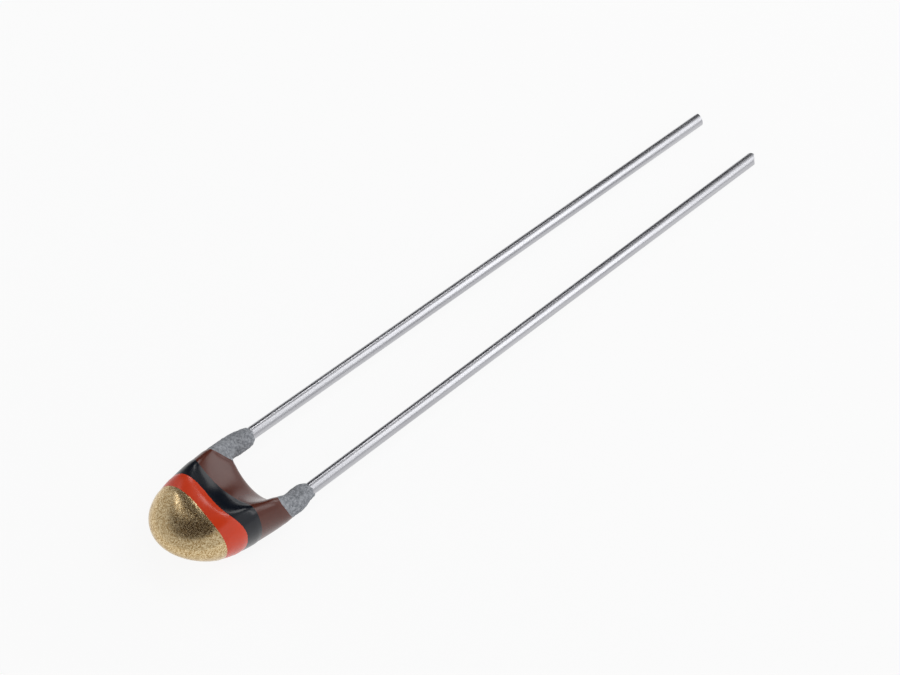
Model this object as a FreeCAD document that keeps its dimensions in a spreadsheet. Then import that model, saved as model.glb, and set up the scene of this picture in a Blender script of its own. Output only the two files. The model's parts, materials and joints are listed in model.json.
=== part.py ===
import FreeCAD, Part

# A colour coded disc thermistor that lies on its side: a ceramic disc with silvered faces, two
# straight tinned leads soldered to it, a grey base lacquer that runs up the leads as two collars,
# and four coloured dips, each a little shorter than the one below it.
#
# Axis frame: x runs out along the leads from the centre of the disc, y across the pitch and z
# through the thickness. The finished part is tipped so that its belly and both lead tips touch the
# floor at z = 0, with the origin at the bottom centre of its box.

import math
import os

import Sketcher

Vector = FreeCAD.Vector
Placement = FreeCAD.Placement
Rotation = FreeCAD.Rotation
X_AXIS = Vector(1, 0, 0)
Y_AXIS = Vector(0, 1, 0)
Z_AXIS = Vector(0, 0, 1)

# Driving sizes: millimetres, degrees, and shares without a unit

SIZES = {
    # Ceramic disc and its silvered faces
    "disc_diameter": 3.0,
    "disc_thickness": 0.6,
    "disc_edge_break": 0.06,
    "electrode_diameter": 2.8,
    "electrode_thickness": 0.03,
    # Leads, whose length counts from the end of the collars
    "wire_diameter": 0.5,
    "lead_length": 24.0,
    "pitch_at_body": 3.35,
    "pitch_at_tips": 2.9,
    "spacing_on_disc": 2.4,
    "wire_end_past_centre": 0.1,
    "bend_depth": 0.85,
    "bend_slant": 26.0,
    "bend_radius": 0.6,
    # The cut at the end of a lead
    "cut_ridge_offset": 0.08,
    "cut_face_slant": 14.0,
    "cut_back_slant": 52.0,
    "cut_roll": 115.0,
    # Solder joints
    "solder_film": 0.02,
    "solder_length": 1.9,
    "solder_width": 1.1,
    "solder_height": 0.4,
    "solder_past_wire_end": 0.25,
    # Base lacquer: how far it covers the rim of the disc, and the leads where they cross its faces
    "rim_cover": 0.29,
    "lead_cover": 0.24,
    # Base lacquer: outline seen along z
    "shoulder_width": 4.3,
    "fork_distance": 2.73,
    "fork_gap": 2.5,
    "fork_depth": 0.58,
    # Base lacquer: collars
    "collar_length": 0.92,
    "collar_waist": 0.84,
    "collar_end_diameter": 0.66,
    # Base lacquer: sections
    "fork_thickness": 1.0,
    "inner_fullness": 0.5,
    "outer_fullness": 0.76,
    "section_lean": 0.5,
    "swell_exponent": 0.6,
    # Coloured dips: how thick, and where each line crosses the body
    "coat_thickness": 0.04,
    "brown_line": 2.45,
    "brown_slant": -2.0,
    "black_line": 0.97,
    "black_slant": -3.5,
    "orange_line": 0.25,
    "orange_slant": -2.2,
    "gold_line": -0.36,
    "gold_slant": 3.6,
}

doc = FreeCAD.newDocument("thermistor")
sheet = doc.addObject("Spreadsheet::Sheet", "Sizes")
for row, (alias, value) in enumerate(SIZES.items(), start=1):
    sheet.set("A%d" % row, alias.replace("_", " "))
    sheet.set("B%d" % row, str(value))
    sheet.setAlias("B%d" % row, alias)
doc.recompute()


def size(alias):
    """The value of one named size."""
    return float(sheet.get(alias))


# Places worked out from the sizes

wire_radius = size("wire_diameter") / 2
collar_end = size("fork_distance") + size("collar_length")
face_height = size("disc_thickness") / 2 + size("electrode_thickness")
seat_height = face_height + size("solder_film") + wire_radius
seat_inset = (size("pitch_at_body") - size("spacing_on_disc")) / 2
joggle = math.hypot(seat_inset, seat_height)
joggle_roll = math.degrees(math.atan2(seat_height, seat_inset))
tip_radius = size("disc_diameter") / 2 + size("rim_cover")
body_thickness = 2 * (seat_height + wire_radius + size("lead_cover"))
inner_reach = collar_end + size("wire_end_past_centre")
drift_at_tip = (size("pitch_at_body") - size("pitch_at_tips")) / 2
convergence = math.degrees(math.atan(drift_at_tip / size("lead_length")))


# Skins of lacquer

# Places round the horseshoe of the body, as angles about its fork: 0 at a shoulder, 90 at the tip.
STATION_STEP = 15
STATIONS = 7
# The first of these stations whose section has left the roundness of the collars behind.
LEG_START = 2
# The first one where the outline turns from the straight flank into the round tip.
TIP_START = 3
# Each section is a closed curve through this many points, evenly turned from its inner edge.
RING_POINTS = 8
ROUND = math.sqrt(0.5)
# The section that carries a collar into its shoulder lies at this share of the collar's length.
WAIST_SHARE = 0.45


def ring(inner, outer, half, lean, inner_full, outer_full):
    """One closed section between two points of the xy plane; half is its half thickness."""
    heights = (0, inner_full, 1, outer_full, 0, -outer_full, -1, -inner_full)
    points = []
    for index, height in enumerate(heights):
        share = (1 - math.cos(2 * math.pi * index / RING_POINTS)) / 2
        x = inner[0] + (outer[0] - inner[0]) * share
        y = inner[1] + (outer[1] - inner[1]) * share
        z = lean * (share - 0.5) + half * height
        points.append(Vector(x, y, z))
    return points


def collar_ring(x, diameter):
    """A round section of a collar, square to the lead."""
    centre = size("pitch_at_body") / 2
    inner = (x, centre - diameter / 2)
    outer = (x, centre + diameter / 2)
    return ring(inner, outer, diameter / 2, 0, ROUND, ROUND)


def outline_point(index, growth):
    """The outer edge of a station: along the straight flank, then round the tip."""
    radius = tip_radius + growth
    if index < TIP_START:
        share = index / TIP_START
        shoulder = size("shoulder_width") / 2 + growth
        return (size("fork_distance") * (1 - share), shoulder + (radius - shoulder) * share)
    turn = math.radians(90 * (index - TIP_START) / (STATIONS - 1 - TIP_START))
    return (-radius * math.sin(turn), radius * math.cos(turn))


def station_ring(index, growth):
    """The section of the body at one station, from the fork to the outer edge."""
    angle = math.radians(STATION_STEP * index)
    depth = (size("fork_depth") - growth) * math.sin(angle)
    inner = (size("fork_distance") - depth, (size("fork_gap") / 2 - growth) * math.cos(angle))
    fork_half = size("fork_thickness") / 2
    swell = math.sin(angle) ** size("swell_exponent")
    half = fork_half + (body_thickness / 2 - fork_half) * swell + growth
    lean = size("section_lean") * math.sin(2 * angle)
    settled = min(1, index / LEG_START)
    inner_full = ROUND + (size("inner_fullness") - ROUND) * settled
    outer_full = ROUND + (size("outer_fullness") - ROUND) * settled
    return ring(inner, outline_point(index, growth), half, lean, inner_full, outer_full)


def near_side(points):
    """The section on the side of the front lead, where its outer edge leans up."""
    return [Vector(p.x, -p.y, p.z) for p in points]


def far_side(points):
    """The section on the other side: the body looks the same after half a turn about x."""
    turned = [Vector(p.x, p.y, -p.z) for p in points]
    return turned[:1] + turned[:0:-1]


def closed_curve(points):
    """A smooth closed curve through the points, its parameter one unit from point to point."""
    curve = Part.BSplineCurve()
    curve.interpolate(Points=points, PeriodicFlag=True, Parameters=list(range(len(points) + 1)))
    return curve


def skin_surface(rings):
    """One smooth surface through all the rings, closed round each of them."""
    curves = [closed_curve(points) for points in rings]
    centres = [sum(points, Vector()) / len(points) for points in rings]
    along = [0.0]
    for before, after in zip(centres, centres[1:]):
        along.append(along[-1] + before.distanceToPoint(after))
    lines = []
    for column in zip(*(curve.getPoles() for curve in curves)):
        line = Part.BSplineCurve()
        line.interpolate(Points=list(column), Parameters=along)
        lines.append(line)
    poles = [list(row) for row in zip(*(line.getPoles() for line in lines))]
    surface = Part.BSplineSurface()
    surface.buildFromPolesMultsKnots(
        poles, lines[0].getMultiplicities(), curves[0].getMultiplicities(),
        lines[0].getKnots(), curves[0].getKnots(), False, True, lines[0].Degree, curves[0].Degree)
    return surface


def skin_shape(growth):
    """The horseshoe solid whose surface lies growth above the base lacquer."""
    waist = collar_end - WAIST_SHARE * size("collar_length")
    rings = [collar_ring(collar_end, size("collar_end_diameter") + 2 * growth)]
    rings.append(collar_ring(waist, size("collar_waist") + 2 * growth))
    rings.extend(station_ring(index, growth) for index in range(STATIONS))
    near = [near_side(points) for points in rings]
    far = [far_side(points) for points in rings[:-1]]
    side = skin_surface(near + far[::-1]).toShape()
    ends = [Part.Face(Part.Wire([edge])) for edge in side.Edges if edge.isClosed()]
    shell = Part.Shell([side] + ends)
    shell.sewShape()
    return Part.Solid(shell)


COATS = ("brown", "black", "orange", "gold")
skins = [skin_shape(layer * size("coat_thickness")) for layer in range(len(COATS) + 1)]


# Dip lines: each coat covers the body from its tip up to a plane across it.

# A dip is a box that reaches this many tip radii to each side, which is well past the body.
DIP_RADII = 4
dip_reach = DIP_RADII * tip_radius


def dip_corner(colour):
    """Where the box of one dip stands: its end face is the dip line, square but for its slant."""
    line = Placement(Vector(size(colour + "_line"), 0, 0), Rotation(Z_AXIS, -size(colour + "_slant")))
    return line * Placement(Vector(-dip_reach, -dip_reach, -dip_reach), Rotation())


def dipped_end(colour, skin):
    """The part of a skin that its dip wetted."""
    dip = Part.makeBox(dip_reach, 2 * dip_reach, 2 * dip_reach)
    dip.Placement = dip_corner(colour)
    return skin.common(dip)


# How the part lies

def rest_placement(body):
    """Tips the axis frame until the body and the lead tips touch the floor, and centres the box."""
    tip_x = collar_end + size("lead_length")
    tilt = math.asin((body_thickness / 2 - wire_radius) / tip_x)
    for _ in range(2):
        tipped = body.copy()
        tipped.rotate(Vector(), Y_AXIS, math.degrees(tilt))
        height = -tipped.optimalBoundingBox(False).ZMin
        tilt = math.asin((height - wire_radius * math.cos(tilt)) / tip_x)
    back_x = tipped.optimalBoundingBox(False).XMin
    front_x = tip_x * math.cos(tilt) + wire_radius * math.sin(tilt)
    return Placement(Vector(-(back_x + front_x) / 2, 0, height), Rotation(Y_AXIS, math.degrees(tilt)))


finished_body = Part.makeCompound([dipped_end(colour, skin) for colour, skin in zip(COATS, skins[1:])])
rest = rest_placement(finished_body)
HALF_TURN = Placement(Vector(), Rotation(X_AXIS, 180))


def lie(thing, own, back=False):
    """Places an object, given in the axis frame, on the floor; back ones are half a turn round."""
    thing.Placement = rest * HALF_TURN * own if back else rest * own


# Helpers for the document

def origin_plane(body, role):
    return [feature for feature in body.Origin.OriginFeatures if feature.Role == role][0]


def plane_sketch(body, name, role, offset=None):
    """A sketch on one of the body's own origin planes."""
    sketch = body.newObject("Sketcher::SketchObject", name)
    sketch.AttachmentSupport = [(origin_plane(body, role), "")]
    sketch.MapMode = "FlatFace"
    if offset is not None:
        sketch.AttachmentOffset = offset
    return sketch


def constrain(sketch, formula, *terms):
    """Adds a constraint; a formula binds its value to the sheet."""
    index = sketch.addConstraint(Sketcher.Constraint(*terms))
    if formula:
        sketch.setExpression("Constraints[%d]" % index, formula)


def circle_sketch(body, name, role, alias, offset=None):
    """A circle about the origin of its plane, with a diameter from the sheet."""
    sketch = plane_sketch(body, name, role, offset)
    circle = sketch.addGeometry(Part.Circle(Vector(), Z_AXIS, size(alias) / 2))
    constrain(sketch, None, "Coincident", circle, 3, -1, 1)
    constrain(sketch, "Sizes." + alias, "Diameter", circle, size(alias))
    return sketch


def round_edges(shape):
    """Names of the full circles among the edges of a shape."""
    names = []
    for number, edge in enumerate(shape.Edges, start=1):
        if isinstance(edge.Curve, Part.Circle):
            names.append("Edge%d" % number)
    return names


# Ceramic disc and its silvered faces

def make_disc():
    body = doc.addObject("PartDesign::Body", "Disc")
    body.Label = "ceramic_disc"
    pad = body.newObject("PartDesign::Pad", "DiscPad")
    pad.Profile = circle_sketch(body, "DiscOutline", "XY_Plane", "disc_diameter")
    pad.SideType = "Symmetric"
    pad.setExpression("Length", "Sizes.disc_thickness")
    doc.recompute()
    edge_break = body.newObject("PartDesign::Chamfer", "DiscEdgeBreak")
    edge_break.Base = (pad, round_edges(pad.Shape))
    edge_break.setExpression("Size", "Sizes.disc_edge_break")
    body.Tip = edge_break
    lie(body, Placement())
    return body


def make_electrode(label, back):
    body = doc.addObject("PartDesign::Body", label + "_body")
    body.Label = label
    pad = body.newObject("PartDesign::Pad", label + "_pad")
    pad.Profile = circle_sketch(body, label + "_outline", "XY_Plane", "electrode_diameter")
    pad.setExpression("Length", "Sizes.electrode_thickness")
    lie(body, Placement(Vector(0, 0, size("disc_thickness") / 2), Rotation()), back)
    return body


# Leads

def lead_path(body, label):
    """The line of the wire: straight outside, a bend to the disc, straight along its face."""
    slant = math.radians(size("bend_slant"))
    radius = size("bend_radius")
    bend_x = -size("bend_depth")
    low_end = Vector(bend_x - radius * math.sin(slant), radius * (1 - math.cos(slant)), 0)
    high_y = joggle - radius * (1 - math.cos(slant))
    high_end = Vector(low_end.x - (high_y - low_end.y) / math.tan(slant), high_y, 0)
    face_x = high_end.x - radius * math.sin(slant)
    low_arc = Part.Circle(Vector(bend_x, radius, 0), Z_AXIS, radius)
    high_arc = Part.Circle(Vector(face_x, joggle - radius, 0), Z_AXIS, radius)

    sketch = plane_sketch(body, label + "_path", "XY_Plane")
    outside = sketch.addGeometry(Part.LineSegment(Vector(size("lead_length"), 0, 0), Vector(bend_x, 0, 0)))
    low = sketch.addGeometry(Part.ArcOfCircle(low_arc, 1.5 * math.pi - slant, 1.5 * math.pi))
    ramp = sketch.addGeometry(Part.LineSegment(low_end, high_end))
    high = sketch.addGeometry(Part.ArcOfCircle(high_arc, 0.5 * math.pi - slant, 0.5 * math.pi))
    face = sketch.addGeometry(Part.LineSegment(Vector(face_x, joggle, 0), Vector(-inner_reach, joggle, 0)))
    constrain(sketch, None, "Tangent", outside, 2, low, 2)
    constrain(sketch, None, "Tangent", low, 1, ramp, 1)
    constrain(sketch, None, "Tangent", ramp, 2, high, 1)
    constrain(sketch, None, "Tangent", high, 2, face, 1)
    constrain(sketch, None, "PointOnObject", outside, 1, -1)
    constrain(sketch, None, "Horizontal", outside)
    constrain(sketch, None, "Horizontal", face)
    constrain(sketch, "Sizes.lead_length", "DistanceX", -1, 1, outside, 1, size("lead_length"))
    constrain(sketch, "Sizes.bend_depth", "DistanceX", outside, 2, -1, 1, size("bend_depth"))
    constrain(sketch, "Sizes.bend_radius", "Radius", low, radius)
    constrain(sketch, "Sizes.bend_radius", "Radius", high, radius)
    constrain(sketch, "Sizes.bend_slant * 1 deg", "Angle", low, slant)
    constrain(sketch, None, "DistanceY", -1, 1, face, 2, joggle)
    constrain(sketch, None, "DistanceX", face, 2, -1, 1, inner_reach)
    return sketch


def cut_outline(body, label):
    """What the cutters take off the end of the wire: two slanted faces that meet at a ridge."""
    roll = Placement(Vector(), Rotation(X_AXIS, size("cut_roll")))
    sketch = plane_sketch(body, label + "_cut", "XY_Plane", roll)
    ridge = Vector(size("lead_length"), size("cut_ridge_offset"), 0)
    high_y = size("wire_diameter")
    front_slope = math.tan(math.radians(size("cut_face_slant")))
    back_slope = math.tan(math.radians(size("cut_back_slant")))
    clear_x = ridge.x + size("wire_diameter")
    front = Vector(ridge.x - (high_y + ridge.y) * front_slope, -high_y, 0)
    back = Vector(ridge.x - (high_y - ridge.y) * back_slope, high_y, 0)
    corners = [ridge, back, Vector(clear_x, high_y, 0), Vector(clear_x, -high_y, 0), front]
    lines = []
    for number, corner in enumerate(corners):
        following = corners[(number + 1) % len(corners)]
        lines.append(sketch.addGeometry(Part.LineSegment(corner, following)))
    for number, line in enumerate(lines):
        constrain(sketch, None, "Coincident", line, 2, lines[(number + 1) % len(lines)], 1)
    constrain(sketch, "Sizes.lead_length", "DistanceX", -1, 1, lines[0], 1, ridge.x)
    constrain(sketch, "Sizes.cut_ridge_offset", "DistanceY", -1, 1, lines[0], 1, ridge.y)
    constrain(sketch, None, "Horizontal", lines[1])
    constrain(sketch, None, "Vertical", lines[2])
    constrain(sketch, None, "Horizontal", lines[3])
    constrain(sketch, "Sizes.wire_diameter", "DistanceY", -1, 1, lines[1], 1, high_y)
    constrain(sketch, "Sizes.wire_diameter", "DistanceY", lines[3], 1, -1, 1, high_y)
    constrain(sketch, "Sizes.wire_diameter", "DistanceX", lines[0], 1, lines[2], 1, clear_x - ridge.x)
    constrain(sketch, None, "DistanceX", lines[0], 2, lines[0], 1, ridge.x - back.x)
    constrain(sketch, None, "DistanceX", lines[4], 1, lines[4], 2, ridge.x - front.x)
    return sketch


def make_lead(label, back):
    """One tinned wire; its own frame has its origin where it leaves the collar."""
    body = doc.addObject("PartDesign::Body", label + "_body")
    body.Label = label
    path = lead_path(body, label)
    end = Placement(Vector(0, 0, size("lead_length")), Rotation())
    section = circle_sketch(body, label + "_section", "YZ_Plane", "wire_diameter", end)
    section.setExpression("AttachmentOffset.Base.z", "Sizes.lead_length")
    wire = body.newObject("PartDesign::AdditivePipe", label + "_wire")
    wire.Profile = section
    wire.Spine = path
    doc.recompute()
    end_cut = body.newObject("PartDesign::Pocket", label + "_end_cut")
    end_cut.Profile = cut_outline(body, label)
    end_cut.SideType = "Symmetric"
    end_cut.setExpression("Length", "4 * Sizes.wire_diameter")
    body.Tip = end_cut
    turn = Rotation(Z_AXIS, convergence) * Rotation(X_AXIS, joggle_roll)
    lie(body, Placement(Vector(collar_end, -size("pitch_at_body") / 2, 0), turn), back)
    doc.recompute()
    if not end_cut.Shape.Volume < wire.Shape.Volume:
        raise RuntimeError(label + " was not cut at its end")
    return body


# Solder joints

def make_solder(label, lead, back):
    """A mound of solder on the silvered face, round the end of the wire."""
    mound = doc.addObject("Part::Ellipsoid", label + "_mound")
    mound.Angle1 = -90
    mound.setExpression("Radius1", "Sizes.solder_height")
    mound.setExpression("Radius2", "Sizes.solder_length / 2")
    mound.setExpression("Radius3", "Sizes.solder_width / 2")
    centre_x = size("solder_length") / 2 - size("wire_end_past_centre") - size("solder_past_wire_end")
    lie(mound, Placement(Vector(centre_x, -size("spacing_on_disc") / 2, face_height), Rotation()), back)
    wetted = doc.addObject("Part::Cylinder", label + "_wetted_face")
    wetted.setExpression("Radius", "Sizes.electrode_diameter / 2")
    wetted.setExpression("Height", "2 * Sizes.solder_height")
    lie(wetted, Placement(Vector(0, 0, face_height), Rotation()), back)
    held = doc.addObject("Part::Common", label + "_held")
    held.Base = mound
    held.Tool = wetted
    joint = doc.addObject("Part::Cut", label + "_joint")
    joint.Label = label
    joint.Base = held
    joint.Tool = lead
    return joint


# Lacquer

def make_skin(layer):
    """The document's copy of one skin: the outside of the body after that many dips."""
    skin = doc.addObject("Part::Feature", "Skin%d" % layer)
    skin.Shape = skins[layer]
    lie(skin, Placement())
    return skin


def make_base_lacquer(skin, inner):
    """Base lacquer: fills the skin round everything that was dipped in it."""
    dipped = doc.addObject("Part::MultiFuse", "Dipped")
    dipped.Shapes = inner
    lacquer = doc.addObject("Part::Cut", "BaseLacquer")
    lacquer.Label = "base_lacquer"
    lacquer.Base = skin
    lacquer.Tool = dipped
    return lacquer


def make_coat(colour, skin, under):
    """One dip: a thin shell that ends at a line across the body."""
    dip = doc.addObject("Part::Box", colour + "_dip")
    dip.Length = dip_reach
    dip.Width = 2 * dip_reach
    dip.Height = 2 * dip_reach
    lie(dip, dip_corner(colour))
    dipped = doc.addObject("Part::Common", colour + "_dipped")
    dipped.Base = skin
    dipped.Tool = dip
    coat = doc.addObject("Part::Cut", colour + "_coat_shell")
    coat.Label = colour + "_coat"
    coat.Base = dipped
    coat.Tool = under
    return coat


disc = make_disc()
front_electrode = make_electrode("front_electrode", False)
back_electrode = make_electrode("back_electrode", True)
front_lead = make_lead("front_lead", False)
back_lead = make_lead("back_lead", True)
front_solder = make_solder("front_solder_joint", front_lead, False)
back_solder = make_solder("back_solder_joint", back_lead, True)
inner_pieces = [disc, front_electrode, back_electrode, front_lead, back_lead, front_solder, back_solder]
layers = [make_skin(layer) for layer in range(len(COATS) + 1)]
base_lacquer = make_base_lacquer(layers[0], inner_pieces)
coats = [make_coat(colour, layers[number + 1], layers[number]) for number, colour in enumerate(COATS)]
doc.recompute()


# Checks and files

for thing in doc.Objects:
    if "Invalid" in thing.State or "Error" in thing.State:
        raise RuntimeError(thing.Label + " did not build")

os.makedirs("parts", exist_ok=True)
for piece in inner_pieces + [base_lacquer] + coats:
    shape = piece.Shape
    if shape.isNull() or not shape.isValid():
        raise RuntimeError(piece.Label + " is not a valid shape")
    box = shape.BoundBox
    print("%-20s solids %d  volume %.4f  x %.2f..%.2f  y %.2f..%.2f  z %.2f..%.2f" % (
        piece.Label, len(shape.Solids), shape.Volume,
        box.XMin, box.XMax, box.YMin, box.YMax, box.ZMin, box.ZMax))
    shape.exportStep("parts/%s.step" % piece.Label)
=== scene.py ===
# %% [markdown]
# A colour coded disc thermistor. The real part is a small ceramic disc with two tinned wires
# soldered to it. It is dipped in grey lacquer, which runs up the wires as two collars, and then
# four times in coloured lacquer, each time a little less deep, so that the colours show as bands
# from the collars to the tip. The solids come in as a frame. This file lays a finer body over
# their coats and gives every piece its surface, with a table, light and a camera.

import json
import math

import bmesh
import bpy
import numpy as np
from mathutils import Matrix, Vector, noise

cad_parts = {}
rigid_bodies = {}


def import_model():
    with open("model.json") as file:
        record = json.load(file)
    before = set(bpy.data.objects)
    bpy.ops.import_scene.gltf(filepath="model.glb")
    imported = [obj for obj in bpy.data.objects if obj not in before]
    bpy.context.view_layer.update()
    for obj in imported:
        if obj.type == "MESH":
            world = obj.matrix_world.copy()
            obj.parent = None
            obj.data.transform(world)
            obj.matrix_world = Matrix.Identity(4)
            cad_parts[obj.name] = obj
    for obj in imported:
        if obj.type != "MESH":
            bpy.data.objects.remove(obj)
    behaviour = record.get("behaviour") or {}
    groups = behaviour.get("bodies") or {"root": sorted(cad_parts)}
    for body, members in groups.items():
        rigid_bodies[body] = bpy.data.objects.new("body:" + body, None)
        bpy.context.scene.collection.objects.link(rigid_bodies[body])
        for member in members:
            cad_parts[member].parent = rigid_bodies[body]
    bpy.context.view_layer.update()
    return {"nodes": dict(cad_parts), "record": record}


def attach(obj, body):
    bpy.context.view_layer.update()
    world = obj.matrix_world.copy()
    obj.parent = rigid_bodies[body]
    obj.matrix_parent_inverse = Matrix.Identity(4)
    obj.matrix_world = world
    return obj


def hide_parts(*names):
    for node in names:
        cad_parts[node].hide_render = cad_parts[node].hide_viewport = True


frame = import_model()
nodes = frame["nodes"]
MM = 0.001

# %% [markdown]
# A colour is written as the hex value that a screen shows. Blender works in linear light, so one
# function turns it over. Another one adds a node to a tree, with its settings, its values and its
# links in one line, which keeps a long tree readable.

# %% Colours and nodes
def linear(hex_value):
    """The linear colour, with alpha, of an sRGB value such as "C8381E"."""
    channels = [int(hex_value[place:place + 2], 16) / 255 for place in (0, 2, 4)]
    return [c / 12.92 if c <= 0.04045 else ((c + 0.055) / 1.055) ** 2.4 for c in channels] + [1.0]


def add(tree, kind, inputs=None, **settings):
    """Adds a node. Its inputs are given by name or number, as values or as a node's output."""
    node = tree.nodes.new(kind)
    for name, value in settings.items():
        setattr(node, name, value)
    for name, value in (inputs or {}).items():
        if isinstance(value, bpy.types.NodeSocket):
            tree.links.new(value, node.inputs[name])
        else:
            node.inputs[name].default_value = value
    return node


print("middle grey 808080 is %.3f in linear light" % linear("808080")[0])

# %% [markdown]
# Every finish here is one Principled surface, whose patterns read Object coordinates. Those stay
# with the piece wherever it goes, and they are in metres, so a grain size in millimetres gives the
# scale of a pattern directly.

# %% Finishes in general
def per_mm(size):
    """The scale of a pattern whose grain is that many millimetres across."""
    return 1 / (size * MM)


def new_finish(name, **surface):
    """A material with one Principled surface; surface gives its plain values."""
    material = bpy.data.materials.new(name)
    material.use_nodes = True
    tree = material.node_tree
    tree.nodes.clear()
    plain = {key.replace("_", " "): value for key, value in surface.items()}
    shader = add(tree, "ShaderNodeBsdfPrincipled", plain)
    add(tree, "ShaderNodeOutputMaterial", {"Surface": shader.outputs[0]})
    place = add(tree, "ShaderNodeTexCoord").outputs["Object"]
    return material, tree, shader, place


def wear(pieces, material):
    """Gives pieces their finish."""
    for piece in pieces:
        piece.data.materials.clear()
        piece.data.materials.append(material)
    print("%s: %s" % (material.name, ", ".join(piece.name for piece in pieces)))


print("a grain of 0.1 mm has a scale of %.0f" % per_mm(0.1))

# %% [markdown]
# Camera. The four ends of the two wires were found in the photograph, and a camera was fitted to
# them: a long lens that looks down on the part from the side of the tip. Blender keeps the angle of
# view in its lens length, on a sensor 36 mm wide.

# %% Camera
CAMERA_AZIMUTH = -43.91
CAMERA_ELEVATION = 51.66
CAMERA_DISTANCE = 114.23 * MM
CAMERA_AIM = Vector((-0.104, 0.487, 0.0)) * MM
CAMERA_LENS = 120


def direction(azimuth, elevation):
    """The way from the part to something seen at this azimuth and elevation, in degrees."""
    a, e = math.radians(azimuth), math.radians(elevation)
    return Vector((math.sin(a) * math.cos(e), -math.cos(a) * math.cos(e), math.sin(e)))


camera = bpy.data.objects.new("camera", bpy.data.cameras.new("camera"))
camera.data.lens = CAMERA_LENS
camera.data.sensor_width = 36
camera.data.clip_start = 1 * MM
camera.data.clip_end = 10
back = direction(CAMERA_AZIMUTH, CAMERA_ELEVATION)
camera.location = CAMERA_AIM + back * CAMERA_DISTANCE
camera.rotation_mode = "QUATERNION"
camera.rotation_quaternion = (-back).to_track_quat("-Z", "Y")
bpy.context.scene.collection.objects.link(camera)
bpy.context.scene.camera = camera
bpy.context.scene.view_settings.view_transform = "Standard"
print("camera: %.0f mm up" % (camera.location.z / MM))

# %% [markdown]
# Light. A small glossy part is lit by what it mirrors. A small lamp and a soft box hang behind it:
# they make the pale patches on the tip and on the orange band. A wide panel past the ends of the
# wires gives black and brown their haze, and a long one in front makes the white line along the
# wires. Each panel hangs between two ways from the part and turns its face to it. A lamp's energy
# grows with its area, so it is worked out from how bright its face should look.

# %% Lamps
LAMP_DISTANCE = 150 * MM
# Each panel: the ways to its two ends, its width in millimetres and how bright its face is.
PANELS = {
    "back_soft_box": ((0.32, 0.56, 0.76), (0.48, 0.51, 0.72), 34, 4.2),
    "small_lamp": ((-0.265, 0.705, 0.655), (-0.165, 0.66, 0.735), 24, 3.0),
    "side_panel": ((0.85, -0.30, 0.42), (0.80, 0.36, 0.50), 75, 1.6),
    "front_panel": ((0.48, -0.80, 0.36), (0.43, 0.05, 0.90), 34, 2.2),
}
for name, (one_way, other_way, width, radiance) in PANELS.items():
    one_end = Vector(one_way).normalized() * LAMP_DISTANCE
    other_end = Vector(other_way).normalized() * LAMP_DISTANCE
    towards = (one_end + other_end).normalized()
    length_way = (other_end - one_end).normalized()
    data = bpy.data.lights.new(name, "AREA")
    data.shape = "RECTANGLE"
    data.size = (other_end - one_end).length
    data.size_y = width * MM
    data.energy = radiance * math.pi * data.size * data.size_y
    lamp = bpy.data.objects.new(name, data)
    axes = Matrix((length_way, towards.cross(length_way), towards))
    lamp.matrix_world = axes.transposed().to_4x4()
    lamp.location = towards * LAMP_DISTANCE
    bpy.context.scene.collection.objects.link(lamp)
    print("%s: %.0f x %.0f mm, %.3f W" % (name, data.size / MM, width, data.energy))

# %% [markdown]
# Room. The world is a pale studio that lights the part from all around. It has two dark openings.
# The domed gold mirrors the one overhead as a brown shade, and black mirrors the one behind.

# %% Room
# Each opening: which way it lies, the half widths in degrees of its dark middle and of the whole,
# and its tone.
OPENINGS = {
    "overhead": ((-0.28, 0.34, 0.90), 20, 37, "301B09"),
    "behind": ((0.62, 0.66, 0.42), 22, 46, "303134"),
}
ROOM_STRENGTH = 0.75

world = bpy.data.worlds.new("room")
world.use_nodes = True
room = world.node_tree
room.nodes.clear()
looked = add(room, "ShaderNodeTexCoord").outputs["Generated"]
shade = linear("F8F9FB")
for way, middle, whole_width, tone in OPENINGS.values():
    nearness = add(room, "ShaderNodeVectorMath",
                   {0: looked, 1: Vector(way).normalized()}, operation="DOT_PRODUCT")
    depth = add(room, "ShaderNodeMapRange", {
        "Value": nearness.outputs["Value"],
        "From Min": math.cos(math.radians(whole_width)),
        "From Max": math.cos(math.radians(middle))}, interpolation_type="SMOOTHSTEP").outputs[0]
    shade = add(room, "ShaderNodeMix",
                {0: depth, 6: shade, 7: linear(tone)}, data_type="RGBA").outputs[2]
glow = add(room, "ShaderNodeBackground", {"Color": shade, "Strength": ROOM_STRENGTH})
add(room, "ShaderNodeOutputWorld", {"Surface": glow.outputs[0]})
bpy.context.scene.world = world
print("room: %d openings" % len(OPENINGS))

# %% [markdown]
# Table. It is a plain white board. What the camera sees of it, and what metal mirrors of it, is
# lifted most of the way to white, so that the ground stays as pale as in the photograph while the
# part still throws a faint shadow on it.

# %% Table
TABLE_HALF = 500 * MM
TABLE_LIFT = 0.9

table_mesh = bpy.data.meshes.new("table")
corners = [(-TABLE_HALF, -TABLE_HALF, 0), (TABLE_HALF, -TABLE_HALF, 0),
           (TABLE_HALF, TABLE_HALF, 0), (-TABLE_HALF, TABLE_HALF, 0)]
table_mesh.from_pydata(corners, [], [(0, 1, 2, 3)])
table = bpy.data.objects.new("table", table_mesh)
bpy.context.scene.collection.objects.link(table)

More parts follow.
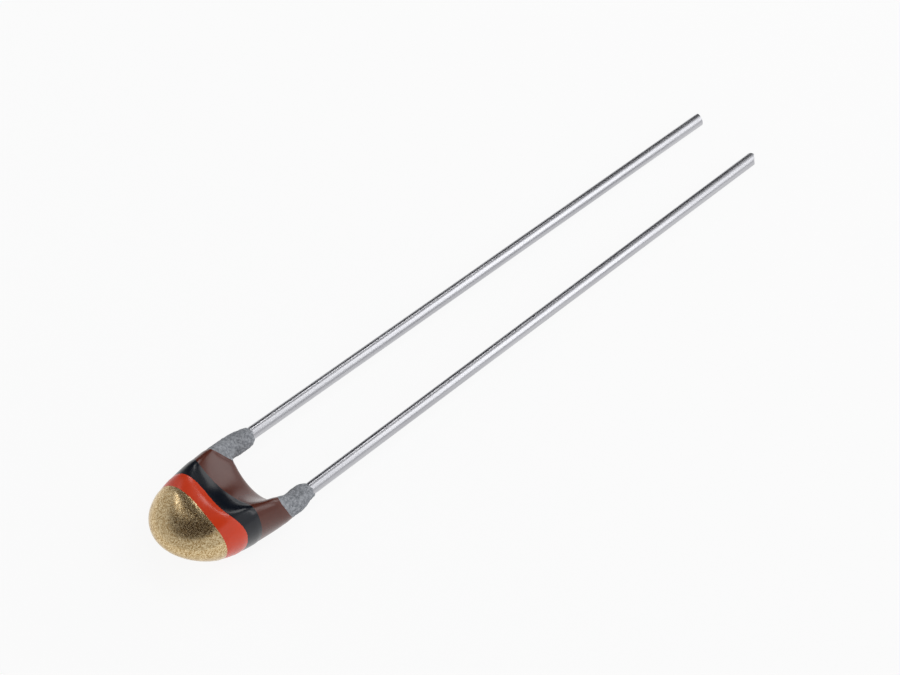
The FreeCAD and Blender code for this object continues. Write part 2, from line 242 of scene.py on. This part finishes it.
# %% Finish of the table
board, tree, shader, place = new_finish(
    "painted_white_board", Base_Color=linear("F6F6F6"), Roughness=0.9)
path = add(tree, "ShaderNodeLightPath").outputs
seen = add(tree, "ShaderNodeMath",
           {0: path["Is Camera Ray"], 1: path["Is Glossy Ray"]}, operation="MAXIMUM")
seen = add(tree, "ShaderNodeMath",
           {0: seen.outputs[0], 1: path["Is Transmission Ray"]}, operation="MAXIMUM")
lift = add(tree, "ShaderNodeMath",
           {0: seen.outputs[0], 1: TABLE_LIFT}, operation="MULTIPLY").outputs[0]
white = add(tree, "ShaderNodeEmission", {"Color": linear("FFFFFF"), "Strength": 1.0}).outputs[0]
lifted = add(tree, "ShaderNodeMixShader", {0: lift, 1: shader.outputs[0], 2: white}).outputs[0]
tree.links.new(lifted, tree.nodes["Material Output"].inputs["Surface"])
wear([table], board)

# %% [markdown]
# Form of the lacquered body. The solids have its main form. Five pieces lie over them with what
# a solid leaves out: every dip ends in a thin rounded edge, the dip lines waver, brown runs up
# between the legs, and the grey collars end in a ragged rim. All numbers are millimetres, in a
# frame whose x runs along the leads from the middle of the disc, y across them and z through the
# thickness.
#
# The body is a horseshoe. Its two legs join the collars at the shoulders, and a web closes the fork
# between them. One wire runs in front of the disc and the other behind it, so one leg leans up and
# the other down: turned by half a turn, the body is the same again.

# %% Sizes of the form
FORM = {
    "tip_radius": 1.89, "tip_reach": 1.825, "tip_shift": 0.049, "shoulder_width": 4.297,
    "fork_distance": 2.73, "fork_gap": 2.6, "fork_depth": 0.63, "fork_thickness": 0.9,
    "body_thickness": 2.4, "web_hollow": 0.2, "section_lean": 0.56, "swell_exponent": 0.65,
    "leg_inner": 0.413, "leg_outer": 0.709, "web_inner": 0.491, "tip_outer": 0.671,
    "lead_pitch": 3.35, "waist": 0.84, "waist_place": 0.45, "collar_end": 0.66,
}
FRONT_COLLAR, BACK_COLLAR = 0.79, 0.92
STATIONS = 7
STATION_TURN = 15
ROUND = math.sqrt(0.5)
print("form: %d sizes" % len(FORM))

# %% [markdown]
# Each section is a closed ring of eight points: an inner and an outer one, the top and the bottom,
# and four between. How full the ring is between them, from 0 to 1, makes it flat or round; the
# square root of a half makes a circle.

# %% Sections of a collar
def blend(first, second, share):
    return first + (second - first) * share


def ring(inner, outer, half, lean, inner_full, outer_full):
    """One closed section of eight points between two points of the xy plane."""
    heights = np.array((0, inner_full, 1, outer_full, 0, -outer_full, -1, -inner_full))
    share = (1 - np.cos(np.arange(8) * math.pi / 4)) / 2
    return np.stack((blend(inner[0], outer[0], share), blend(inner[1], outer[1], share),
                     lean * (share - 0.5) + half * heights), axis=1)


def collar_ring(x, diameter):
    """A round section about the middle of a wire."""
    middle = FORM["lead_pitch"] / 2
    return ring((x, middle - diameter / 2), (x, middle + diameter / 2), diameter / 2,
                0, ROUND, ROUND)


print("collar end: %d points" % len(collar_ring(0, FORM["collar_end"])))

# %% [markdown]
# Seven stations go from a shoulder round to the middle of the tip. The inner ends of their sections
# follow the arc of the fork. The outer ones follow the straight side first and then the round tip.

# %% Sections of the body
def outer_point(index):
    """The outer end of the section at a station: three on the side and four round the tip."""
    if index < 3:
        across = blend(FORM["shoulder_width"] / 2, FORM["tip_radius"], index / 3)
        return FORM["fork_distance"] * (1 - index / 3), across
    turn = math.radians(2 * STATION_TURN * (index - 3))
    return -FORM["tip_reach"] * math.sin(turn), FORM["tip_radius"] * math.cos(turn)


def station_ring(index):
    """The section at one of the stations, from a shoulder (0) to the middle of the tip (6)."""
    angle = math.radians(STATION_TURN * index)
    web = math.sin(angle) ** 4
    inner = (FORM["fork_distance"] - FORM["fork_depth"] * math.sin(angle),
             FORM["fork_gap"] / 2 * math.cos(angle))
    swell = math.sin(angle) ** FORM["swell_exponent"]
    thickness = blend(FORM["fork_thickness"], FORM["body_thickness"], swell)
    half = thickness / 2 - FORM["web_hollow"] * web ** 2
    settled = min(1, index / 2)
    inner_full = blend(blend(ROUND, FORM["leg_inner"], settled), FORM["web_inner"], web)
    outer_full = blend(blend(ROUND, FORM["leg_outer"], settled), FORM["tip_outer"], web)
    return ring(inner, outer_point(index), half, FORM["section_lean"] * math.sin(2 * angle),
                inner_full, outer_full)


def half_rings(collar_length):
    """All sections of one half, from the end of its collar to the middle of the tip."""
    end = FORM["fork_distance"] + collar_length
    waist_x = end - FORM["waist_place"] * collar_length
    rings = [collar_ring(end, FORM["collar_end"]), collar_ring(waist_x, FORM["waist"])]
    return rings + [station_ring(index) for index in range(STATIONS)]


near = [points * (1, -1, 1) for points in half_rings(FRONT_COLLAR)]
far = [np.roll((points * (1, 1, -1))[::-1], 1, axis=0) for points in half_rings(BACK_COLLAR)]
turns = np.radians([0, 0] + [STATION_TURN * index for index in range(STATIONS)])
shifts = FORM["tip_shift"] * np.sin(np.concatenate((turns, turns[-2::-1]))) ** 2
rings = np.array(near + far[-2::-1]) + shifts[:, None, None] * np.array((0, 1, 0))
print("body: %d sections" % len(rings))

# %% [markdown]
# A smooth sheet goes through the sections. It is made of cubic curves: first round each section, as
# closed curves, and then along the body, from collar to collar. A cubic curve needs its slope at
# each knot, and asking for an even bend there gives one linear equation for each of them.

# %% Smooth curves
def curve_slopes(step, rise, closed):
    """The slopes at the knots of a smooth curve, from the steps between them and the rises."""
    count = len(step) + 1
    system, right = np.zeros((count, count)), np.zeros((count,) + rise.shape[1:])
    for k in range(1, count - 1):
        system[k, k - 1:k + 2] = step[k], 2 * (step[k - 1] + step[k]), step[k - 1]
        right[k] = 3 * (step[k] * rise[k - 1] + step[k - 1] * rise[k])
    if closed:
        system[0, [0, 1, count - 2]] = 2 * (step[-1] + step[0]), step[-1], step[0]
        right[0] = 3 * (step[0] * rise[-1] + step[-1] * rise[0])
        system[-1, [0, -1]] = 1, -1
    else:
        for row, one, two, a, b in ((0, 0, 1, 0, 1), (-1, -1, -2, -1, -2)):
            reach = step[a] + step[b]
            system[row, [one, two]] = step[b], reach
            pull = (step[a] + 2 * reach) * step[b] * rise[a] + step[a] ** 2 * rise[b]
            right[row] = pull / reach
    return np.linalg.solve(system, right.reshape(count, -1)).reshape(right.shape)


def cubic(knots, values, places, closed=False):
    """Reads a smooth curve through the values, one for each knot, at other places."""
    wide = (-1,) + (1,) * (values.ndim - 1)
    step = np.diff(knots)
    slope = curve_slopes(step, np.diff(values, axis=0) / step.reshape(wide), closed)
    span = np.clip(np.searchsorted(knots, places, side="right") - 1, 0, len(knots) - 2)
    h, t = step[span].reshape(wide), ((places - knots[span]) / step[span]).reshape(wide)
    return ((1 + 2 * t) * (1 - t) ** 2 * values[span] + t * (1 - t) ** 2 * h * slope[span]
            + t * t * (3 - 2 * t) * values[span + 1] + t * t * (t - 1) * h * slope[span + 1])


line = np.arange(4.0)
print("a straight line is kept: %s" % cubic(line, line, np.array((0.5, 2.5))))

# %% [markdown]
# The sheet has many more rows and columns than the body has sections, because the dip lines and the
# thin edges of the coats are drawn by its points.

# %% Sheet through the sections
ROWS, COLUMNS = 380, 144

closed_rings = np.concatenate((rings, rings[:, :1]), axis=1).transpose(1, 0, 2)
round_places = np.linspace(0, 8, COLUMNS, endpoint=False)
columns = cubic(np.arange(9.0), closed_rings, round_places, closed=True).transpose(1, 0, 2)
middles = rings.mean(axis=1)
gaps = np.linalg.norm(np.diff(middles, axis=0), axis=1)
along = np.concatenate(([0.0], np.cumsum(gaps)))
sheet = cubic(along, columns, np.linspace(0, along[-1], ROWS))
print("sheet: %d x %d points, %.1f mm along" % (sheet.shape[0], sheet.shape[1], along[-1]))

# %% [markdown]
# Each collar runs out on its wire in a short ragged rim, which the first and the last rows of the
# sheet get here. The last of these rows lies inside the wire. Noise of two sizes makes the rim
# ragged, as lacquer that dried on a wire is.

# %% Rims of the collars
# Each step of a rim: how far ahead it lies, and its size as a share of the collar's end.
RIM_STEPS = ((0.03, 0.97), (0.06, 0.9), (0.08, 0.82), (0.085, 0.72))
RIM_RAGGED = 0.9


def uneven(points, coarse, fine, fine_share):
    """Smooth noise of two sizes at each point; coarse and fine are its waves in a millimetre."""
    return np.array([noise.noise(Vector(point) * coarse)
                     + fine_share * noise.noise(Vector(point) * fine) for point in points])


def rim_rows(row):
    """Rows that carry the end of a collar down onto its wire."""
    middle = row.mean(axis=0)
    ragged = uneven(row, 3.0, 9.0, 0.5)
    rows = []
    for ahead, scale in RIM_STEPS:
        points = middle + (row - middle) * scale
        points[:, 0] += ahead * (1 + RIM_RAGGED * ragged)
        rows.append(points)
    return rows


whole = np.concatenate((rim_rows(sheet[0])[::-1], sheet, rim_rows(sheet[-1])))
count = whole.shape[0] * COLUMNS
index = np.arange(count).reshape(-1, COLUMNS)
after = np.roll(index, -1, axis=1)
faces = np.stack((index[:-1], index[1:], after[1:], after[:-1]), axis=-1).reshape(-1, 4)
print("body mesh: %d points, %d faces" % (count, len(faces)))

# %% [markdown]
# How the body lies. The two pins in the record say where the wires are, and the body's own frame
# hangs on them. The wires slope down from the body to the table, and the body slopes with them.

# %% Place of the body
LEADS_MIDDLE = 15.6495
pins = [mount for mount in frame["record"]["mounts"] if mount["kind"] == "pin"]
pin_middle = sum((Vector(pin["pos_m"]) for pin in pins), Vector()) / len(pins)
lead_way = sum((Vector(pin["axis"]) for pin in pins), Vector()).normalized()
tilt = math.asin(-lead_way.z)
tipping = np.array(Matrix.Rotation(tilt, 3, "Y"))
origin = np.array(pin_middle) / MM - tipping @ np.array((LEADS_MIDDLE, 0, 0))
print("tilt %.2f degrees, centre of the disc at" % math.degrees(tilt), np.round(origin, 3))

# %% [markdown]
# Dips. A coat covers the body up to its dip line. The line is a level, a slope across the body, a
# bow and a twist; for brown it is also a peak between the legs and a lean through the thickness.
# A coat is thin, and its edge is drawn out thinner still, as lacquer that ran back before it dried.

# %% Dip lines
DIP_LINES = {
    "brown": dict(level=2.9, slope=-0.11, peak=-0.4, lean=-0.32),
    "black": dict(level=0.954, slope=-0.099, bow=0.044, twist=0.033),
    "orange": dict(level=0.31, slope=0.147, bow=-0.028, twist=-0.074),
    "gold": dict(level=-0.255, slope=0.118, bow=-0.06, twist=-0.042),
}
COLOURS = list(DIP_LINES)
LINE_HALF_WIDTH = 1.9
PEAK_ROUNDING = 0.2


def dip_limit(y, z, level, slope, bow=0.0, twist=0.0, peak=0.0, lean=0.0):
    """How far up the body a coat reaches, at each y and z."""
    y = np.clip(y, -LINE_HALF_WIDTH, LINE_HALF_WIDTH)
    return (level + slope * y + bow * y ** 2 + twist * y ** 3 + peak * np.hypot(y, PEAK_ROUNDING)
            + lean * z)


def limit_at(colour, places):
    """The limit of one colour at each of the places."""
    return dip_limit(places[:, 1], places[:, 2], **DIP_LINES[colour])


for colour in COLOURS:
    print("%s reaches %.2f mm on the middle line" % (colour, limit_at(colour, np.zeros((1, 3)))[0]))

# %% [markdown]
# The thickness of the lacquer is worked out point by point and then moves each point out along its
# normal. On the bare collars it is uneven instead, because the grey lacquer is full of powder.

# %% Thickness of the lacquer
COAT = 0.022
EDGE_WIDTH = 0.25
EDGE_BEAD = 0.03
EDGE_SINK, EDGE_SINK_WIDTH = 0.005, 0.02
BARE_FROM, BARE_BLEND = 2.3, 0.4
LUMP_HEIGHT, LUMP_MIDDLE = 0.022, 0.7


def coat(depth):
    """The thickness of a coat at a depth below its line: a rounded edge with a slight bead."""
    t = np.clip(depth / EDGE_WIDTH, 0, 1)
    bead = EDGE_BEAD * np.exp(-((depth - EDGE_WIDTH) / (0.6 * EDGE_WIDTH)) ** 2)
    return COAT * (t * t * (3 - 2 * t) + np.where(depth > 0, bead, 0))


def lacquer_on(places, top):
    """All the lacquer over each place after the first so many dips."""
    growth = np.zeros(len(places))
    for colour in COLOURS[:top]:
        depth = limit_at(colour, places) - places[:, 0]
        growth += coat(depth)
    if top:
        # The last line sinks a little into the coat beneath, so that its edge leaves no slit.
        growth -= EDGE_SINK * np.exp(-(depth / EDGE_SINK_WIDTH) ** 2)
    else:
        bare = np.clip((places[:, 0] - BARE_FROM) / BARE_BLEND, 0, 1)
        growth += LUMP_HEIGHT * bare * (uneven(places, 7.0, 16.0, 0.6) - LUMP_MIDDLE)
    return growth


print("a full coat is %.3f mm thick" % coat(np.array((2.0,)))[0])

# %% [markdown]
# A piece is the body cut off at the line of its dip. Bisect cuts a mesh at a plane only, so the
# body is first moved along x by the limit, which makes the line the plane x = 0, and then moved
# back.

# %% Making a piece of the body
def rows_of(items, attribute):
    """The vectors of a mesh's items, such as the places of its points, as rows."""
    rows = np.empty(len(items) * 3)
    items.foreach_get(attribute, rows)
    return rows.reshape(-1, 3)


def cut_at_zero(mesh):
    """Takes off all that lies past the plane x = 0."""
    work = bmesh.new()
    work.from_mesh(mesh)
    everything = work.verts[:] + work.edges[:] + work.faces[:]
    bmesh.ops.bisect_plane(work, geom=everything, dist=1e-6, plane_co=(0, 0, 0),
                           plane_no=(1, 0, 0), clear_outer=True)
    work.to_mesh(mesh)
    work.free()


def make_piece(name, top):
    """The body as it is after the first so many dips, cut off at the line of the last of them."""
    mesh = bpy.data.meshes.new(name)
    places = whole.reshape(-1, 3).copy()
    if top:
        places[:, 0] -= limit_at(COLOURS[top - 1], places)
    mesh.from_pydata(places.tolist(), [], faces.tolist())
    if top:
        cut_at_zero(mesh)
        places = rows_of(mesh.vertices, "co")
        places[:, 0] += limit_at(COLOURS[top - 1], places)
        mesh.vertices.foreach_set("co", places.ravel())
    mesh.update()
    normals = rows_of(mesh.vertex_normals, "vector")
    places = (places + normals * lacquer_on(places, top)[:, None]) @ tipping.T + origin
    mesh.vertices.foreach_set("co", (places * MM).ravel())
    mesh.shade_smooth()
    mesh.update()
    piece = bpy.data.objects.new(name, mesh)
    bpy.context.scene.collection.objects.link(piece)
    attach(piece, "root")
    print("%s: %d faces, x to %.3f mm" % (name, len(mesh.polygons), places[:, 0].max()))
    return piece


# %% Pieces of the body
grey_body = make_piece("grey_body", 0)
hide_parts("base_lacquer")
dips = {}
for number, colour in enumerate(COLOURS, start=1):
    dips[colour] = make_piece(colour + "_dip", number)
    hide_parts(colour + "_coat")

# %% [markdown]
# Tinned copper wire. It is drawn smooth and then run through molten tin, which leaves a bright skin
# with faint lines along the wire. Metal keeps the default IOR; its colour is what it mirrors back.

# %% Finish of the wires
tin, tree, shader, place = new_finish("drawn_tinned_copper", Metallic=1.0)
drawn = add(tree, "ShaderNodeMapping", {"Vector": place, "Scale": (0.02, 1, 1)}).outputs[0]
lines = add(tree, "ShaderNodeTexNoise",
            {"Vector": drawn, "Scale": per_mm(0.12), "Detail": 3.0}).outputs[0]
colour = add(tree, "ShaderNodeMix",
             {0: lines, 6: linear("A9A9AE"), 7: linear("D2D2D5")}, data_type="RGBA")
tree.links.new(colour.outputs[2], shader.inputs["Base Color"])
gloss = add(tree, "ShaderNodeMapRange", {"Value": lines, "To Min": 0.26, "To Max": 0.36}).outputs[0]
tree.links.new(gloss, shader.inputs["Roughness"])
ridges = add(tree, "ShaderNodeBump",
             {"Height": lines, "Strength": 0.05, "Distance": 0.01 * MM}).outputs[0]
tree.links.new(ridges, shader.inputs["Normal"])
wear([nodes["front_lead"], nodes["back_lead"]], tin)

# %% [markdown]
# Grey base lacquer. It is an epoxy filled with mineral powder and left to cure as it is, so it is
# matt and grainy, with dark pores and pale grains that show on the two collars.

# %% Finish of the base lacquer
grey, tree, shader, place = new_finish("filled_grey_epoxy", Roughness=0.8, IOR=1.5)
cloud = add(tree, "ShaderNodeTexNoise",
            {"Vector": place, "Scale": per_mm(0.1), "Detail": 5.0}).outputs[0]
cloud = add(tree, "ShaderNodeMapRange",
            {"Value": cloud, "From Min": 0.38, "From Max": 0.62}).outputs[0]
grain = add(tree, "ShaderNodeTexVoronoi", {"Vector": place, "Scale": per_mm(0.07)}).outputs[0]
colour = add(tree, "ShaderNodeMix",
             {0: cloud, 6: linear("83868B"), 7: linear("ABAEB3")}, data_type="RGBA")
pores = add(tree, "ShaderNodeMapRange", {
    "Value": grain, "From Min": 0.0, "From Max": 0.35, "To Min": 1.0, "To Max": 0.0}).outputs[0]
pored = add(tree, "ShaderNodeMix",
            {0: pores, 6: colour.outputs[2], 7: linear("4C4F53")}, data_type="RGBA")
tree.links.new(pored.outputs[2], shader.inputs["Base Color"])
rough = add(tree, "ShaderNodeBump",
            {"Height": grain, "Strength": 0.5, "Distance": 0.02 * MM}).outputs[0]
tree.links.new(rough, shader.inputs["Normal"])
wear([grey_body], grey)

# %% [markdown]
# Coloured lacquers. They are thin glossy epoxy dips. Gloss comes from the index of 1.5 and a low
# roughness, and a very shallow waviness, as wide as half a millimetre, keeps the reflections from
# looking like those of a turned ball.

# %% Finishes of the three plain dips
PLAIN_DIPS = {
    "brown": ("glossy_brown_epoxy", "55261A", "633225"),
    "black": ("glossy_black_epoxy", "070D16", "0C131F"),
    "orange": ("glossy_orange_epoxy", "DA3C1A", "E34824"),
}
for colour_name, (title, deep, pale) in PLAIN_DIPS.items():
    lacquer, tree, shader, place = new_finish(title, Roughness=0.24, IOR=1.5)
    cloud = add(tree, "ShaderNodeTexNoise",
                {"Vector": place, "Scale": per_mm(0.6), "Detail": 3.0}).outputs[0]
    colour = add(tree, "ShaderNodeMix",
                 {0: cloud, 6: linear(deep), 7: linear(pale)}, data_type="RGBA")
    tree.links.new(colour.outputs[2], shader.inputs["Base Color"])
    waves = add(tree, "ShaderNodeBump",
                {"Height": cloud, "Strength": 0.2, "Distance": 0.02 * MM}).outputs[0]
    tree.links.new(waves, shader.inputs["Normal"])
    wear([dips[colour_name]], lacquer)

# %% [markdown]
# Gold lacquer. It is clear lacquer full of bronze flakes that lie nearly flat. Each flake is a
# small mirror tilted its own way, so the band glitters and its reflections are broken into grains.
# Real flakes are finer; these are as coarse as they need to be to show.

# %% Finish of the gold dip
gold, tree, shader, place = new_finish("bronze_flake_lacquer", Metallic=1.0)
flake = add(tree, "ShaderNodeTexVoronoi", {"Vector": place, "Scale": per_mm(0.036)})
own = add(tree, "ShaderNodeSeparateColor", {0: flake.outputs["Color"]})
colour = add(tree, "ShaderNodeMix",
             {0: own.outputs[0], 6: linear("A3824F"), 7: linear("EBD6AC")}, data_type="RGBA")
tree.links.new(colour.outputs[2], shader.inputs["Base Color"])
gloss = add(tree, "ShaderNodeMapRange",
            {"Value": own.outputs[1], "To Min": 0.16, "To Max": 0.32}).outputs[0]
tree.links.new(gloss, shader.inputs["Roughness"])
tilted = add(tree, "ShaderNodeBump",
             {"Height": own.outputs[2], "Strength": 0.3, "Distance": 0.02 * MM}).outputs[0]
tree.links.new(tilted, shader.inputs["Normal"])
wear([dips["gold"]], gold)

# %% [markdown]
# Inner pieces. Nothing of them shows from outside, but each is a real piece with a finish of its
# own: sintered oxide, fired silver print and dull solder.

# %% Finishes of the inner pieces
INNER = {
    "sintered_oxide_ceramic": (["ceramic_disc"], 0.0, 0.85, "2B2927", "3A3734"),
    "fired_silver_print": (["front_electrode", "back_electrode"], 1.0, 0.5, "C6C6C2", "DCDCD8"),
    "dull_tin_solder": (["front_solder_joint", "back_solder_joint"], 1.0, 0.35, "A6A7AB", "BDBEC2"),
}
for title, (names, metallic, roughness, dark, light) in INNER.items():
    material, tree, shader, place = new_finish(title, Metallic=metallic, Roughness=roughness)
    cloud = add(tree, "ShaderNodeTexNoise",
                {"Vector": place, "Scale": per_mm(0.1), "Detail": 4.0}).outputs[0]
    colour = add(tree, "ShaderNodeMix",
                 {0: cloud, 6: linear(dark), 7: linear(light)}, data_type="RGBA")
    tree.links.new(colour.outputs[2], shader.inputs["Base Color"])
    wear([nodes[name] for name in names], material)
